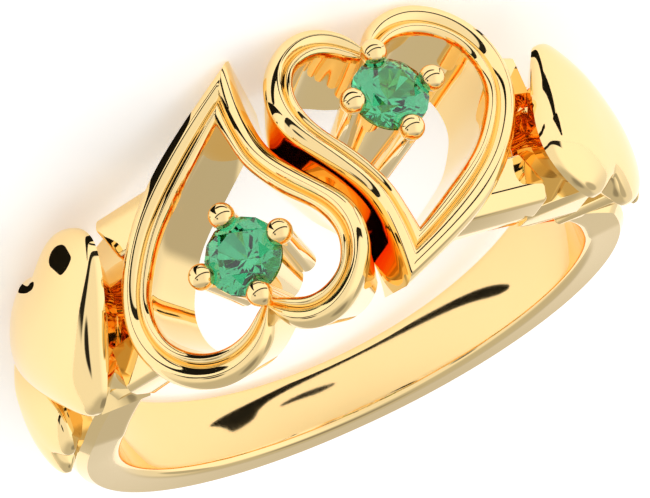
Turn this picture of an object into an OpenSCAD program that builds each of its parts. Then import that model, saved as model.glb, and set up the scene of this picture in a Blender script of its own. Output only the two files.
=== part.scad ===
// Gold ring with two open hearts side by side on the head, each holding one round green stone.
// It is drawn head up, with the finger along Y, and then laid on its side as it rests.

/* [Finger hole and shank] */
// Inside diameter of the finger hole
finger_d = 17.3; // [16:0.1:19]
// Thickness of the shank at the back
shank_thick = 1.7; // [1.4:0.1:2]
// Thickness that the shank gains at each shoulder
shoulder_gain = 0.2; // [0:0.05:0.3]
// Half width of the flat inside face at the back
shank_half = 0.7; // [0.5:0.05:0.9]
// Half width that rounding the inside edge adds at the back
edge_round = 0.6; // [0.4:0.05:0.7]

/* [Open hearts] */
// Lean of each heart away from the middle of the head
heart_lean = 22.4; // [20:0.1:24]
// Height of a heart's outer edge over the middle of the finger hole
rail_height = 10.9; // [10.7:0.05:11.1]
// Height of the large bead over the outer edge
bead_rise = 0.52; // [0.4:0.02:0.6]
// Height of the small inner bead over the outer edge
inner_bead_rise = 0.47; // [0.4:0.02:0.55]

/* [Stones and settings] */
// Diameter of a stone at its girdle
stone_d = 2.6; // [2.3:0.05:2.7]
// Lean of each stone away from the middle of the head
stone_lean = 18; // [15:0.5:21]
// Gap between a stone and the metal around it
stone_gap = 0.04; // [0.03:0.01:0.08]
// Distance of a ball tip from the middle of its stone
prong_ring = 1.45; // [1.4:0.01:1.5]
// Diameter of a ball tip
ball_d = 0.88; // [0.8:0.02:0.95]
// Diameter of a prong
prong_d = 0.74; // [0.6:0.02:0.8]

/* [Puffed hearts] */
// Width of a large puffed heart
large_w = 5.5; // [5.2:0.1:5.7]
// Length of a large puffed heart
large_l = 6.2; // [5.8:0.1:6.4]
// Width of a small puffed heart
small_w = 3.3; // [3:0.1:3.6]
// Length of a small puffed heart
small_l = 4.5; // [4.2:0.1:4.7]

/* [Hidden] */

hole_r = finger_d / 2;
gold = "gold";
green = "mediumseagreen";

// Rails of an open heart, seen from above in the heart's own plane, from the tip to the cleft
// along the side that faces the other heart. Columns: outer x, outer y, inner x, inner y, and how
// much the wall below leans in.
INNER_SIDE = [
    [-3.48, -4.75, -2.22, -3.00, 0.60],
    [-3.30, -3.60, -2.26, -2.62, 0.70],
    [-3.24, -2.50, -2.33, -2.00, 0.75],
    [-3.42, -1.35, -2.52, -1.10, 0.80],
    [-3.90, -0.45, -3.05,  0.02, 0.95],
    [-4.50,  0.50, -3.68,  0.92, 1.05],
    [-5.00,  1.40, -4.07,  1.66, 1.15],
    [-5.14,  2.35, -4.19,  2.40, 1.20],
    [-4.88,  3.32, -4.00,  3.02, 1.10],
    [-4.17,  4.18, -3.62,  3.44, 0.95],
    [-3.20,  4.68, -2.98,  3.66, 0.80],
    [-2.15,  4.62, -2.32,  3.58, 0.78],
    [-1.45,  4.12, -1.78,  3.28, 0.80],
    [-1.16,  3.45, -1.22,  2.98, 0.85]
];
// The same from the cleft to the tip along the side that faces the shoulder
OUTER_SIDE = [
    [-1.16,  3.45, -1.22,  2.98, 0.85],
    [-0.78,  4.10, -0.68,  3.26, 0.90],
    [-0.05,  4.60, -0.12,  3.56, 0.95],
    [ 0.90,  4.77,  0.62,  3.68, 1.00],
    [ 1.95,  4.48,  1.42,  3.46, 1.00],
    [ 2.85,  3.74,  2.05,  2.94, 1.00],
    [ 3.40,  2.74,  2.40,  2.24, 1.00],
    [ 3.54,  1.68,  2.45,  1.50, 1.00],
    [ 3.30,  0.60,  2.26,  0.82, 1.00],
    [ 2.75, -0.50,  1.82,  0.12, 0.95],
    [ 1.90, -1.55,  1.12, -0.70, 0.90],
    [ 0.75, -2.55,  0.10, -1.50, 0.85],
    [-0.85, -3.50, -1.20, -2.36, 0.75],
    [-3.48, -4.75, -2.22, -3.00, 0.60]
];
rail_steps = 2;
// Section of a rail and the wall under it, which leans in towards the finger hole. Columns: place
// across the rail from 0 outside to 1 inside, height over the outer edge, share of the wall's lean
RAIL = [
    [0.00, 0.00, 0],
    [0.02, 0.42 * bead_rise, 0],
    [0.13, 0.81 * bead_rise, 0],
    [0.32, bead_rise, 0],
    [0.50, 0.88 * bead_rise, 0],
    [0.62, 0.58 * bead_rise, 0],
    [0.68, 0.85 * inner_bead_rise, 0],
    [0.80, inner_bead_rise, 0],
    [0.92, 0.89 * inner_bead_rise, 0],
    [1.00, 0.53 * inner_bead_rise, 0],
    [1.10, -2.2, 0.2],
    [0.33, -3.6, 1.19],
    [0.00, -3.6, 1.19]
];

window_place = 0.96;

// Middle of the right stone's ball tips
stone_at = [3.37, 1.53, 11.51];
// Heights over the ball tips' middles
girdle_height = -0.26;
collet_top = -0.36;
foot_height = -3.4;
prong_foot_ring = 1.12;
collet_foot_d = 1.9;
collet_wall = 0.24;

// Cut of a stone, as shares of its radius
table_share = 0.57;
star_share = 0.78;
crown_share = 0.32;
star_height_share = 0.21;
girdle_share = 0.05;
pavilion_share = 0.86;

// Puffed hearts, half an outline from the cleft to the tip. Columns: share of half the width,
// share of half the length
PUFFED = [
    [0.00,  0.79],
    [0.22,  0.93],
    [0.50,  1.00],
    [0.82,  0.86],
    [1.00,  0.48],
    [0.87,  0.00],
    [0.65, -0.39],
    [0.34, -0.72],
    [0.00, -1.00]
];
puffed_steps = 2;
// Rings of a puffed heart from its rim to its crown. Columns: share of the outline, share of the dome
DOME = [
    [1.00, 0.00],
    [0.97, 0.35],
    [0.88, 0.65],
    [0.70, 0.87],
    [0.40, 0.98]
];
large_turn = 54.7;
large_rim = 11.08;
large_dome = 0.85;
small_turn = 75.5;
small_rim = 10.55;
small_dome = 0.85;
puffed_foot = 1.3;
puffed_foot_share = 0.7;

// Three blocks that step down one side of a shoulder, each as the sections at its two ends.
// Columns of a section: distance from the middle of the open heart, then for the top edge, the
// ridge and the foot the distance from the middle of the shoulder and the height.
STEPS = [
    [[-0.5, 3.20, 10.57, 3.12, 10.0, 2.76, 8.1], [3.2, 2.50, 10.57, 2.78, 9.9, 2.52, 7.6]],
    [[2.8, 2.25, 10.1, 2.50, 9.6, 2.35, 7.6], [5.27, 2.40, 9.15, 2.66, 8.65, 2.21, 6.3]],
    [[4.9, 2.10, 9.25, 2.36, 8.6, 2.10, 6.4], [7.4, 1.85, 7.7, 2.05, 7.3, 1.90, 6.6]]
];
// The smooth cheek on the other side of the shoulder, in the same columns
CHEEK = [[1.5, 2.60, 10.5, 3.05, 9.9, 2.90, 8.1], [4.95, 1.75, 9.25, 2.40, 8.9, 1.60, 6.6]];
block_inner = 1.2;

// Where the shank ends under the open hearts, each way from the back
shank_end = 152;
shank_stations = 72;

// How the ring rests on its side: lean, roll and the place of its middle
rest_lean = 9.128;
rest_roll = 2.751;
rest_at = [-0.013, 1.197, 2.9228];

function mid_spline(a, b, c, d, t) =
    0.5 * (2 * b + (c - a) * t + (2 * a - 5 * b + 4 * c - d) * t * t
        + (3 * b - a - 3 * c + d) * t * t * t);

// A smooth open curve through the rows, without its last point
function smooth(rows, steps) =
    let (n = len(rows) - 1)
    [for (i = [0:n - 1], k = [0:steps - 1])
        let (
            before = i > 0 ? rows[i - 1] : 2 * rows[0] - rows[1],
            after = i < n - 1 ? rows[i + 2] : 2 * rows[n] - rows[n - 1]
        )
        mid_spline(before, rows[i], rows[i + 1], after, k / steps)];

// Faces of a tube of m points round and n stations, where the last station joins the first
function loop_faces(n, m) =
    [for (i = [0:n - 1], j = [0:m - 1])
        let (a = i * m, b = ((i + 1) % n) * m, k = (j + 1) % m)
        each [[a + j, a + k, b + k], [a + j, b + k, b + j]]];

// Faces of a stack of n rings of m points, without its ends
function stack_faces(n, m) =
    [for (i = [0:n - 2], j = [0:m - 1])
        let (a = i * m, b = (i + 1) * m, k = (j + 1) % m)
        each [[a + j, b + j, b + k], [a + j, b + k, a + k]]];

function heart_stations() = concat(smooth(INNER_SIDE, rail_steps), smooth(OUTER_SIDE, rail_steps));

// Rail and wall of an open heart, in the heart's own plane
module open_heart() {
    stations = heart_stations();
    points = [for (s = stations, p = RAIL)
        let (place = p[0] + p[2] * s[4])
        [s[0] + place * (s[2] - s[0]), s[1] + place * (s[3] - s[1]), rail_height + p[1]]];
    polyhedron(points, [for (f = loop_faces(len(stations), len(RAIL))) [f[0], f[2], f[1]]]);
}

// The room inside an open heart, which nothing but the setting enters. Its sides run within the
// walls, and its corners lie midway between the walls' own.
module heart_window() {
    inside = [for (s = heart_stations())
        [s[0] + window_place * (s[2] - s[0]), s[1] + window_place * (s[3] - s[1])]];
    n = len(inside);
    translate([0, 0, 5])
        linear_extrude(8)
            polygon([for (i = [0:n - 1]) (inside[i] + inside[(i + 1) % n]) / 2]);
}

// Four ball-tipped prongs round a tapered collet, which stand on the finger hole's surface
module setting() {
    lean = atan((prong_ring - prong_foot_ring) / -foot_height);
    for (turn = [0:90:270])
        rotate([0, 0, turn])
            translate([prong_ring, 0, 0]) {
                sphere(d = ball_d, $fn = 14);
                rotate([180, lean, 0])
                    cylinder(d = prong_d, h = -foot_height / cos(lean), $fn = 12);
            }
    difference() {
        translate([0, 0, foot_height])
            cylinder(d1 = collet_foot_d, d2 = stone_d, h = collet_top - foot_height, $fn = 24);
        translate([0, 0, foot_height - 1])
            cylinder(d1 = collet_foot_d - 2.5 * collet_wall, d2 = stone_d - 2 * collet_wall,
                h = collet_top - foot_height + 1.1, $fn = 24);
    }
}

// Carries a setting or stone to its place on the right half of the head
module at_stone() {
    translate(stone_at)
        rotate([0, stone_lean, 0])
            children();
}

module both_halves() {
    children();
    rotate([0, 0, 180])
        children();
}

// A round brilliant, measured from its prongs' ball tips. The grow value makes the room that its seat needs.
module brilliant(grow = 0) {
    r = stone_d / 2 + grow;
    belt = girdle_share * r / 2 + grow / 2;
    high = [for (i = [0:7]) [cos(i * 45), sin(i * 45)]];
    between = [for (i = [0:7]) [cos(i * 45 + 22.5), sin(i * 45 + 22.5)]];
    around = [for (i = [0:15]) [cos(i * 22.5), sin(i * 22.5)]];
    function ring(dirs, share, z) =
        [for (d = dirs) [share * r * d[0], share * r * d[1], girdle_height + z]];
    points = concat(
        ring(high, table_share, belt + crown_share * r),
        ring(between, star_share, belt + star_height_share * r),
        ring(around, 1, belt),
        ring(around, 1, -belt),
        [[0, 0, girdle_height - belt - pavilion_share * r]]
    );
    faces = concat(
        [[7, 6, 5, 4, 3, 2, 1, 0]],
        [for (i = [0:7]) let (n = (i + 1) % 8) each [
            [i, n, 8 + i],
            [8 + i, n, 16 + 2 * n],
            [n, 8 + n, 16 + 2 * n],
            [8 + i, 16 + 2 * n, 17 + 2 * i],
            [8 + i, 17 + 2 * i, 16 + 2 * i]
        ]],
        [for (i = [0:15]) let (n = (i + 1) % 16) each [
            [16 + i, 16 + n, 32 + n],
            [16 + i, 32 + n, 32 + i],
            [32 + i, 32 + n, 48]
        ]]
    );
    polyhedron(points, faces);
}

// A solid domed heart with its tip towards +Y and its rim at height 0
module puffed_heart(w, l, dome) {
    half = smooth(PUFFED, puffed_steps);
    right = [for (p = half) [p[0] * w / 2, -p[1] * l / 2]];
    tip = [0, l / 2];
    left = [for (i = [len(half) - 1:-1:1]) [-right[i][0], right[i][1]]];
    outline = concat(right, [tip], left);
    m = len(outline);
    points = concat(
        [for (p = outline) [p[0] * puffed_foot_share, p[1] * puffed_foot_share, -puffed_foot]],
        [for (d = DOME, p = outline) [p[0] * d[0], p[1] * d[0], d[1] * dome]],
        [[0, 0, dome]]
    );
    n = len(DOME) + 1;
    faces = concat(
        [[for (j = [0:m - 1]) j]],
        stack_faces(n, m),
        [for (j = [0:m - 1]) [(n - 1) * m + j, n * m, (n - 1) * m + (j + 1) % m]]
    );
    polyhedron(points, faces);
}

// A block with a ridged side, on the side of -Y, from the sections at its two ends
module block(ends) {
    points = [for (e = ends) each [
        [e[0], -block_inner, e[2]], [e[0], -e[1], e[2]], [e[0], -e[3], e[4]],
        [e[0], -e[5], e[6]], [e[0], -block_inner, e[6]]
    ]];
    faces = concat([[0, 1, 2, 3, 4], [9, 8, 7, 6, 5]], stack_faces(2, 5));
    polyhedron(points, faces);
}

// The shank with its rounded inside edges and domed back, widening to both shoulders. It is
// narrower beside the stepped blocks: in front on the right, behind on the left.
module shank() {
    function flat_half(t) = shank_half + 0.432 * t * t - 0.0224 * t * t * t * t;
    function round_half(t, stepped) =
        (edge_round - 0.06 * t * t) * (stepped ? 1 - 0.9 * max(0, min(1, 2 * (t - 1.7))) : 1);
    function crown_r(t) = shank_thick + shoulder_gain * min(1, t / 1.57);
    // Half of the section. Columns: half width, height over the finger hole's surface
    function side(t, stepped) =
        let (f = flat_half(t), h = f + round_half(t, stepped), c = crown_r(t), k = 0.9 + 0.03 * min(2, t))
        [
            [f - 0.75 * (h - f), -0.22],
            [f + 0.75 * (h - f), 0.22],
            [h, 0.6],
            [h - 0.03, 0.62 * c],
            [h * (k - 0.04), 0.84 * c],
            [h * 0.5, 0.97 * c]
        ];
    function section(t, front_stepped) =
        let (front = side(t, front_stepped), back = side(t, !front_stepped), n = len(front))
        concat(
            [for (p = front) [-p[0], p[1]]],
            [[0, crown_r(t)]],
            [for (i = [n - 1:-1:0]) back[i]]
        );
    m = len(section(0, true));
    points = [for (i = [0:shank_stations])
        let (turn = shank_end * (2 * i / shank_stations - 1), t = abs(turn) * PI / 180)
        for (p = section(t, turn > 0))
            [(hole_r + p[1]) * sin(turn), p[0], -(hole_r + p[1]) * cos(turn)]];
    n = shank_stations + 1;
    faces = concat(
        [[for (j = [0:m - 1]) j]],
        stack_faces(n, m),
        [[for (j = [m - 1:-1:0]) (n - 1) * m + j]]
    );
    polyhedron(points, faces);
}

// What one half of the head carries. The other half is the same, turned by half a turn.
module head_half() {
    difference() {
        union() {
            rotate([0, heart_lean, 0])
                open_heart();
            at_stone()
                setting();
        }
        at_stone()
            brilliant(stone_gap);
    }
    rotate([0, large_turn, 0])
        translate([0, 0, large_rim])
            puffed_heart(large_w, large_l, large_dome);
    rotate([0, small_turn, 0])
        translate([0, 0, small_rim])
            mirror([0, 1, 0])
                puffed_heart(small_w, small_l, small_dome);
}

// The blocks beside one open heart
module shoulder() {
    rotate([0, heart_lean, 0]) {
        for (ends = STEPS)
            block(ends);
        mirror([0, 1, 0])
            block(CHEEK);
    }
}

// Everything that is cast as one piece, before the finger hole is bored
module casting() {
    resize([0, 0, 0])
        union() {
            difference() {
                union() {
                    shank();
                    both_halves()
                        shoulder();
                }
                both_halves()
                    rotate([0, heart_lean, 0])
                        heart_window();
            }
            both_halves()
                head_half();
        }
}

// Lays the ring on its side with the head towards -Y
module at_rest() {
    translate(rest_at)
        rotate([-rest_lean, rest_roll, 0])
            rotate([-90, 0, 180])
                children();
}

module ring_body() {
    color(gold)
        at_rest()
            difference() {
                casting();
                rotate([90, 0, 0])
                    cylinder(r = hole_r, h = 14, center = true, $fn = 120);
            }
}

module stone() {
    at_stone()
        brilliant();
}

module stone_left() {
    color(green)
        at_rest()
            rotate([0, 0, 180])
                stone();
}

module stone_right() {
    color(green)
        at_rest()
            stone();
}

ring_body();
stone_left();
stone_right();
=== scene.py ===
import math

import bmesh
import bpy
import numpy as np
from mathutils import Matrix, Vector


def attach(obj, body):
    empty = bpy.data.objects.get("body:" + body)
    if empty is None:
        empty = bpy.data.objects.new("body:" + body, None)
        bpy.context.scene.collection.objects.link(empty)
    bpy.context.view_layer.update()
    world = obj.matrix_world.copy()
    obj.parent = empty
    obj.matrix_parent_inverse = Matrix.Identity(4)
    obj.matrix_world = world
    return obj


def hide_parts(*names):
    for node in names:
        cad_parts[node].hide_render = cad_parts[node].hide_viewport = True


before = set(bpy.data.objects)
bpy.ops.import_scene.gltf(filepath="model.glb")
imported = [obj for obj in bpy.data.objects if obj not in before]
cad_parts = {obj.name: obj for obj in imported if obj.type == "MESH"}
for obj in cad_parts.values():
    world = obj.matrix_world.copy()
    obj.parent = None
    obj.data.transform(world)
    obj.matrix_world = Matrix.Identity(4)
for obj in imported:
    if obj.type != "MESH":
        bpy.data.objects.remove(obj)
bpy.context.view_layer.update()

# The two open hearts on the head: flat heart-shaped rails of yellow gold, cast in one with the
# ring. Each rail has a large outer bead and a small inner one with a groove between, and its
# wall runs down to the finger hole. Every piece of gold is drawn in millimetres, head up.

HOLE_R = 8.65
WALL_END_R = HOLE_R + 0.01
HEART_LEAN = math.radians(22.4)
RAIL_HEIGHT = 10.9
WALL_DEPTH = 3.6
STRAIGHT_DEPTH = 2.2
SIDE_STATIONS = 110
LARGE_BEAD_STEPS = 24
SMALL_BEAD_STEPS = 18
WALL_STEPS = 8
UNDER_STEPS = 5
# Each side of a heart, from tip to cleft and back: outer x and y, inner x and y, lean of the wall.
INNER_SIDE = [
    (-3.48, -4.75, -2.22, -3.00, 0.60),
    (-3.30, -3.60, -2.26, -2.62, 0.70),
    (-3.24, -2.50, -2.33, -2.00, 0.75),
    (-3.42, -1.35, -2.52, -1.10, 0.80),
    (-3.90, -0.45, -3.05, 0.02, 0.95),
    (-4.50, 0.50, -3.68, 0.92, 1.05),
    (-5.00, 1.40, -4.07, 1.66, 1.15),
    (-5.14, 2.35, -4.19, 2.40, 1.20),
    (-4.88, 3.32, -4.00, 3.02, 1.10),
    (-4.17, 4.18, -3.62, 3.44, 0.95),
    (-3.20, 4.68, -2.98, 3.66, 0.80),
    (-2.15, 4.62, -2.32, 3.58, 0.78),
    (-1.45, 4.12, -1.78, 3.28, 0.80),
    (-1.16, 3.45, -1.22, 2.98, 0.85),
]
OUTER_SIDE = [
    (-1.16, 3.45, -1.22, 2.98, 0.85),
    (-0.78, 4.10, -0.68, 3.26, 0.90),
    (-0.05, 4.60, -0.12, 3.56, 0.95),
    (0.90, 4.77, 0.62, 3.68, 1.00),
    (1.95, 4.48, 1.42, 3.46, 1.00),
    (2.85, 3.74, 2.05, 2.94, 1.00),
    (3.40, 2.74, 2.40, 2.24, 1.00),
    (3.54, 1.68, 2.45, 1.50, 1.00),
    (3.30, 0.60, 2.26, 0.82, 1.00),
    (2.75, -0.50, 1.82, 0.12, 0.95),
    (1.90, -1.55, 1.12, -0.70, 0.90),
    (0.75, -2.55, 0.10, -1.50, 0.85),
    (-0.85, -3.50, -1.20, -2.36, 0.75),
    (-3.48, -4.75, -2.22, -3.00, 0.60),
]
# Beads: place of the crest across the rail, reach outwards and inwards, height of the crest and
# of the middle that the bead curves about.
LARGE_BEAD = (0.32, 0.32, 0.38, 0.52, 0.0)
SMALL_BEAD = (0.80, 0.19, 0.22, 0.47, 0.1)
GROOVE_AT = 0.635
INNER_BEAD_END = 1.02
INNER_WALL_TOP = 0.1

# Lays the ring on its side, as it rests on a table with its head towards -Y.
AT_REST = (
    Matrix.Translation((-0.000013, 0.001197, 0.0029228))
    @ Matrix.Rotation(math.radians(2.751), 4, "Y")
    @ Matrix.Rotation(math.radians(-9.128), 4, "X")
    @ Matrix(((-1, 0, 0, 0), (0, 0, -1, 0), (0, -1, 0, 0), (0, 0, 0, 1)))
    @ Matrix.Scale(0.001, 4)
)
HALF_TURN = Matrix.Rotation(math.pi, 4, "Z")
IN_HEART = Matrix.Rotation(HEART_LEAN, 4, "Y")


def smooth_through(rows, steps):
    """Points at even steps along one smooth curve through the rows of a table."""
    p = np.array(rows, float)
    gap = np.hypot(*np.diff(p[:, :2], axis=0).T)
    along = np.concatenate([[0.0], np.cumsum(gap)])
    n = len(p)
    system, right = np.zeros((n, n)), np.zeros_like(p)
    system[0, 0] = system[-1, -1] = 1
    for i in range(1, n - 1):
        system[i, i - 1:i + 2] = gap[i - 1], 2 * (gap[i - 1] + gap[i]), gap[i]
        right[i] = 6 * ((p[i + 1] - p[i]) / gap[i] - (p[i] - p[i - 1]) / gap[i - 1])
    bend = np.linalg.solve(system, right)
    at = np.linspace(0, along[-1], steps + 1)
    i = np.clip(np.searchsorted(along, at, side="right") - 1, 0, n - 2)
    g = gap[i][:, None]
    a = (along[i + 1] - at)[:, None] / g
    b = 1 - a
    return a * p[i] + b * p[i + 1] + ((a**3 - a) * bend[i] + (b**3 - b) * bend[i + 1]) * g * g / 6


def heart_stations():
    """The table's rows at even steps all the way round the heart."""
    inner = smooth_through(INNER_SIDE, SIDE_STATIONS)[:-1]
    outer = smooth_through(OUTER_SIDE, SIDE_STATIONS)[:-1]
    return np.concatenate([inner, outer])


def bead_curve(bead, from_place, to_place, steps):
    """Places across the rail and heights over one bead."""
    crest, out, back, top, middle = bead
    start = -math.asin(min(1, (crest - from_place) / out))
    end = math.asin(min(1, (to_place - crest) / back))
    angles = np.linspace(start, end, steps + 1)
    reach = np.where(angles < 0, out, back)
    return np.stack([crest + reach * np.sin(angles), middle + (top - middle) * np.cos(angles)], 1)


def outer_wall(depth, lean):
    """Place of the outer wall across the rail, which leans outwards all the way down."""
    return 1.19 * lean * depth / WALL_DEPTH


def inner_wall(depth, lean):
    """Place of the inner wall, which goes straight down and then bends back outwards."""
    straight = 1.02 + (0.08 + 0.2 * lean) * depth / STRAIGHT_DEPTH
    share = (depth - STRAIGHT_DEPTH) / (WALL_DEPTH - STRAIGHT_DEPTH)
    bent = 1.10 + 0.2 * lean + share * (0.99 * lean - 0.77)
    return np.where(depth < STRAIGHT_DEPTH, straight, bent)


def depth_at_hole(wall, station):
    """How deep a wall goes before it meets the finger hole."""
    low, high = 0.0, WALL_DEPTH
    for _ in range(40):
        mid = (low + high) / 2
        x = station[0] + wall(mid, station[4]) * (station[2] - station[0])
        outside = math.hypot(x, RAIL_HEIGHT - mid) > WALL_END_R
        low, high = (mid, high) if outside else (low, mid)
    return low


def heart_rail():
    """Closed loop of sections round one open heart, in the heart's own frame."""
    large = bead_curve(LARGE_BEAD, 0.0, GROOVE_AT, LARGE_BEAD_STEPS)
    small = bead_curve(SMALL_BEAD, GROOVE_AT, INNER_BEAD_END, SMALL_BEAD_STEPS)
    beads = np.concatenate([large, small[1:]])
    loops = []
    for s in heart_stations():
        down = np.linspace(1, 0, WALL_STEPS + 1)[:-1] * depth_at_hole(outer_wall, s)
        back = np.linspace(0, 1, WALL_STEPS + 1)[1:]
        back = back * (depth_at_hole(inner_wall, s) + INNER_WALL_TOP) - INNER_WALL_TOP
        outside = np.stack([outer_wall(down, s[4]), -down], 1)
        inside = np.stack([inner_wall(back, s[4]), -back], 1)
        share = np.linspace(0, 1, UNDER_STEPS + 1)[1:-1][:, None]
        under = inside[-1] + share * (outside[0] - inside[-1])
        section = np.concatenate([outside, beads, inside, under])
        x = s[0] + section[:, 0] * (s[2] - s[0])
        y = s[1] + section[:, 0] * (s[3] - s[1])
        z = RAIL_HEIGHT + section[:, 1]
        m = len(under)
        grow = WALL_END_R / np.hypot(x[-m:], z[-m:])
        x[-m:] *= grow
        z[-m:] *= grow
        loops.append(np.stack([x, y, z], 1))
    return np.array(loops)


def closed_loop(loops):
    """Points and faces of a tube whose last section joins its first."""
    n, m = loops.shape[:2]
    faces = [
        (i * m + j, i * m + (j + 1) % m, ((i + 1) % n) * m + (j + 1) % m, ((i + 1) % n) * m + j)
        for i in range(n) for j in range(m)
    ]
    return loops.reshape(-1, 3), faces


def face_outwards(mesh):
    form = bmesh.new()
    form.from_mesh(mesh)
    bmesh.ops.recalc_face_normals(form, faces=form.faces)
    form.to_mesh(mesh)
    form.free()


def new_piece(name, points, faces, place):
    """A closed mesh in the ring's own millimetres, with its faces outwards."""
    mesh = bpy.data.meshes.new(name)
    mesh.from_pydata([tuple(p) for p in points], [], faces)
    mesh.transform(place)
    face_outwards(mesh)
    piece = bpy.data.objects.new(name, mesh)
    bpy.context.scene.collection.objects.link(piece)
    return piece


def gold_piece(piece, material, sharp_over=32):
    """Gives a piece its finish, lays it down with the ring and lets it ride there."""
    mesh = piece.data
    mesh.materials.clear()
    mesh.materials.append(material)
    mesh.transform(AT_REST)
    mesh.shade_smooth()
    mesh.set_sharp_from_angle(angle=math.radians(sharp_over))
    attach(piece, "root")
    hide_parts("ring_body")


# The polish: scale of the slow change in gloss and tone, how long the wiping lines are drawn
# out and turned, lines to a grain, and the height of the ripples that the lines make.
CLOUD_SCALE = 320
LINE_STRETCH = (1.0, 0.12, 1.0)
LINE_TURN = (0.3, 0.5, 0.7)
LINES_TO_GRAIN = 14
RIPPLE_HEIGHT = 0.000004
RIPPLE_STRENGTH = 0.04
GOLD_DEEP = (1.0, 0.735, 0.345, 1)
GOLD_PALE = (1.0, 0.765, 0.370, 1)


def polish_group():
    """Polished metal seen close: faint wiping lines, a slow change of gloss and soft ripples."""
    tree = bpy.data.node_groups.new("polish", "ShaderNodeTree")
    face = tree.interface
    for label in ("Haze", "Lines", "Grain"):
        face.new_socket(label, in_out="INPUT", socket_type="NodeSocketFloat")
    for label in ("Roughness", "Height", "Tone"):
        face.new_socket(label, in_out="OUTPUT", socket_type="NodeSocketFloat")
    add, link = tree.nodes.new, tree.links.new
    given, out = add("NodeGroupInput"), add("NodeGroupOutput")
    where = add("ShaderNodeTexCoord")
    slow = add("ShaderNodeTexNoise")
    slow.inputs["Scale"].default_value = CLOUD_SCALE
    slow.inputs["Detail"].default_value = 2
    link(where.outputs["Object"], slow.inputs["Vector"])
    stretch = add("ShaderNodeMapping")
    stretch.inputs["Scale"].default_value = LINE_STRETCH
    stretch.inputs["Rotation"].default_value = LINE_TURN
    link(where.outputs["Object"], stretch.inputs["Vector"])
    lines = add("ShaderNodeTexNoise")
    lines.inputs["Detail"].default_value = 4
    lines.inputs["Roughness"].default_value = 0.6
    link(stretch.outputs["Vector"], lines.inputs["Vector"])
    grain = add("ShaderNodeMath")
    grain.operation = "MULTIPLY"
    grain.inputs[1].default_value = LINES_TO_GRAIN
    link(given.outputs["Grain"], grain.inputs[0])
    link(grain.outputs["Value"], lines.inputs["Scale"])
    hazy = add("ShaderNodeMath")
    hazy.operation = "MULTIPLY"
    link(slow.outputs["Fac"], hazy.inputs[0])
    link(given.outputs["Haze"], hazy.inputs[1])
    lined = add("ShaderNodeMath")
    lined.operation = "MULTIPLY_ADD"
    link(lines.outputs["Fac"], lined.inputs[0])
    link(given.outputs["Lines"], lined.inputs[1])
    link(hazy.outputs["Value"], lined.inputs[2])
    link(lined.outputs["Value"], out.inputs["Roughness"])
    link(lines.outputs["Fac"], out.inputs["Height"])
    link(slow.outputs["Fac"], out.inputs["Tone"])
    return tree


POLISH = polish_group()


def polished_gold(name, haze=0.05, lines=0.03, grain=900.0):
    """Yellow gold with a mirror polish."""
    material = bpy.data.materials.new(name)
    material.use_nodes = True
    tree = material.node_tree
    shader = tree.nodes["Principled BSDF"]
    shader.inputs["Metallic"].default_value = 1.0
    polish = tree.nodes.new("ShaderNodeGroup")
    polish.node_tree = POLISH
    polish.inputs["Haze"].default_value = haze
    polish.inputs["Lines"].default_value = lines
    polish.inputs["Grain"].default_value = grain
    tone = tree.nodes.new("ShaderNodeMix")
    tone.data_type = "RGBA"
    tone.inputs["A"].default_value = GOLD_DEEP
    tone.inputs["B"].default_value = GOLD_PALE
    tree.links.new(polish.outputs["Tone"], tone.inputs["Factor"])
    tree.links.new(tone.outputs["Result"], shader.inputs["Base Color"])
    tree.links.new(polish.outputs["Roughness"], shader.inputs["Roughness"])
    bump = tree.nodes.new("ShaderNodeBump")
    bump.inputs["Strength"].default_value = RIPPLE_STRENGTH
    bump.inputs["Distance"].default_value = RIPPLE_HEIGHT
    tree.links.new(polish.outputs["Height"], bump.inputs["Height"])
    tree.links.new(bump.outputs["Normal"], shader.inputs["Normal"])
    return material


HEAD_GOLD = polished_gold("head_gold")
rail_points, rail_faces = closed_loop(heart_rail())
for side, turn in (("right", Matrix()), ("left", HALF_TURN)):
    rail = new_piece("open_heart_" + side, rail_points, rail_faces, turn @ IN_HEART)
    gold_piece(rail, HEAD_GOLD)

# The two stones: green round brilliants of 57 facets, cut and polished, and held down by the
# prongs in a tapered cup. One eighth of the cut is drawn and repeated round the stone's axis.

STONE_D = 2.6
GIRDLE_HEIGHT = -0.26
TABLE_SHARE = 0.57
CROWN_SHARE = 0.32
STAR_SHARE = 0.78
STAR_HEIGHT_SHARE = 0.208
GIRDLE_SHARE = 0.05
PAVILION_SHARE = 0.86
LOWER_SHARE = 0.26
STONE_PLACE = (3.37, 1.53, 11.51)
STONE_LEAN = math.radians(18)
AT_STONE = Matrix.Translation(STONE_PLACE) @ Matrix.Rotation(STONE_LEAN, 4, "Y")
GEM_IOR = 1.77
GEM_DEEP = (0.03, 0.42, 0.15, 1)
GEM_PALE = (0.08, 0.56, 0.26, 1)
GEM_CLOUD_SCALE = 900
WELD = 0.0005


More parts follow.
